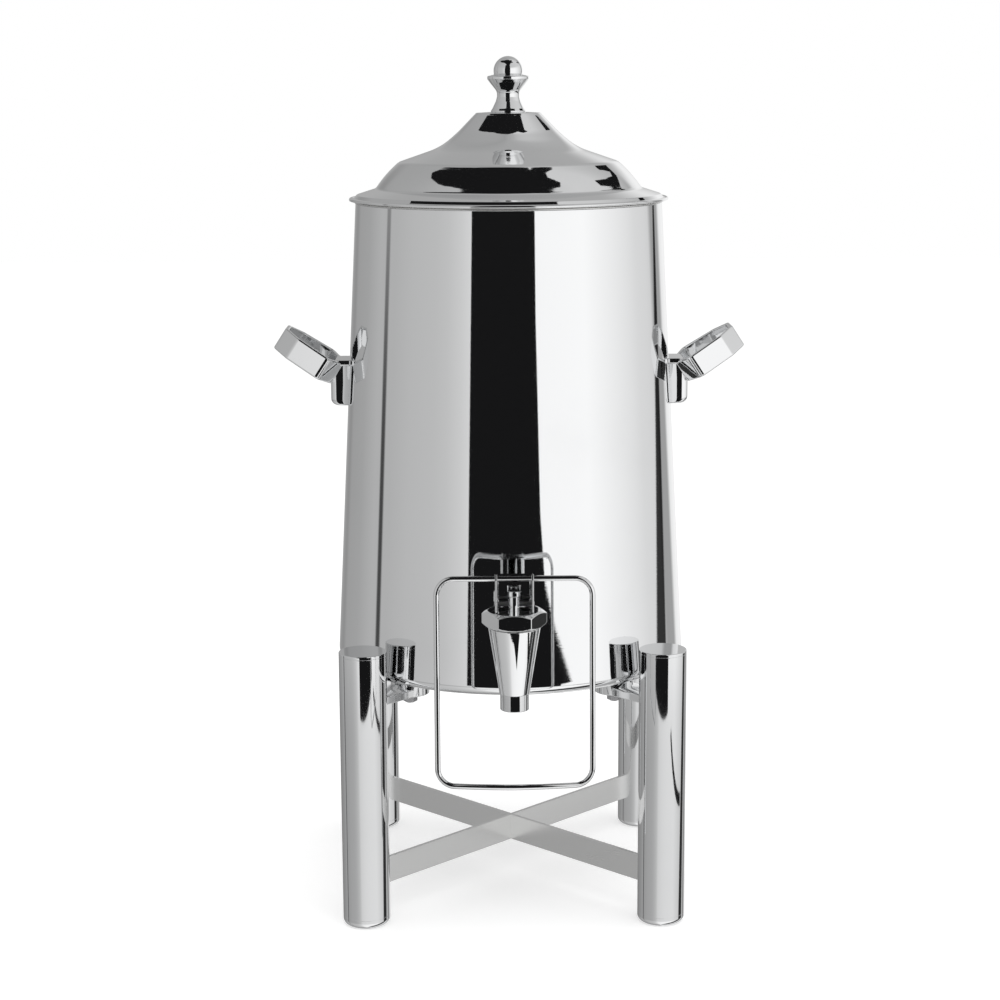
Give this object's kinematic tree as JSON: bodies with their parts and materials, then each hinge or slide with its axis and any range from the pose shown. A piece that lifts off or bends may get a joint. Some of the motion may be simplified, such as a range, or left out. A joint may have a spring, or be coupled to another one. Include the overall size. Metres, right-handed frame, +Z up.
{
  "type": "coffee urn",
  "caption": "Tapered polished steel coffee urn with a lift-off finial lid, loop handles, a push-back wire lever faucet and a tubular leg stand.",
  "frame": {"origin": "middle of the floor area that the whole urn covers, at floor level", "axes": "+Z up, the faucet faces -Y, +X to the right seen from the front"},
  "size_m": [0.3572, 0.3292, 0.6363],
  "materials": {
    "polished_steel": "mirror-polished stainless steel",
    "leg_steel": "polished stainless steel tube, softly brightened",
    "satin_steel": "satin stainless steel with a fine grain",
    "faucet_chrome": "bright chrome plate",
    "fastener_steel": "plain machined stainless steel",
    "silicone": "matte off-white silicone",
    "insulation": "rigid foam"
  },
  "bodies": {
    "urn": {"outer_shell": "polished_steel", "base_plate": "satin_steel", "inner_tank": "satin_steel", "insulation_sleeve": "insulation", "insulation_disc": "insulation", "handle_post_left": "polished_steel", "handle_post_right": "polished_steel", "handle_loop_left": "polished_steel", "handle_loop_right": "polished_steel", "handle_screws": "fastener_steel", "leg_tube_front_left": "leg_steel", "leg_tube_front_right": "leg_steel", "leg_tube_rear_left": "leg_steel", "leg_tube_rear_right": "leg_steel", "leg_top_caps": "leg_steel", "leg_foot_caps": "leg_steel", "bracket_front_left": "leg_steel", "bracket_front_right": "leg_steel", "bracket_rear_left": "leg_steel", "bracket_rear_right": "leg_steel", "brace_bar_lower": "satin_steel", "brace_bar_upper": "satin_steel", "stand_bolts": "fastener_steel", "stand_washers": "fastener_steel", "stand_nuts": "fastener_steel", "faucet_body": "faucet_chrome", "faucet_bonnet": "faucet_chrome", "shell_seal": "silicone", "tank_seal": "silicone", "shank_nut": "fastener_steel", "valve_spring": "fastener_steel"},
    "lid": {"lid_cover": "polished_steel", "lid_liner": "satin_steel", "lid_gasket": "silicone", "lid_knob": "polished_steel", "knob_screw": "fastener_steel", "knob_washer": "fastener_steel"},
    "valve": {"valve_stem": "faucet_chrome", "seat_cup": "silicone"},
    "lever": {"lever_yoke": "faucet_chrome", "lever_wire": "faucet_chrome", "pivot_pin": "fastener_steel"}
  },
  "joints": [
    {"name": "lid_lift", "type": "slide", "parent": "urn", "child": "lid", "axis": [0, 0, 1], "range_m": [0, 0.12]},
    {"name": "stem_lift", "type": "slide", "parent": "urn", "child": "valve", "axis": [0, 0, 1], "range_m": [0, 0.0027], "stiffness_N_per_m": 800, "springref_m": -0.01, "deforming": ["valve_spring"]},
    {"name": "lever_swing", "type": "hinge", "parent": "valve", "child": "lever", "pos_m": [0, -0.14073, 0.2589], "axis": [1, 0, 0], "range_deg": [0, 16]}
  ],
  "couplings": [
    {"joint": "stem_lift", "follows": "lever_swing", "m_per_rad": 0.0095}
  ]
}
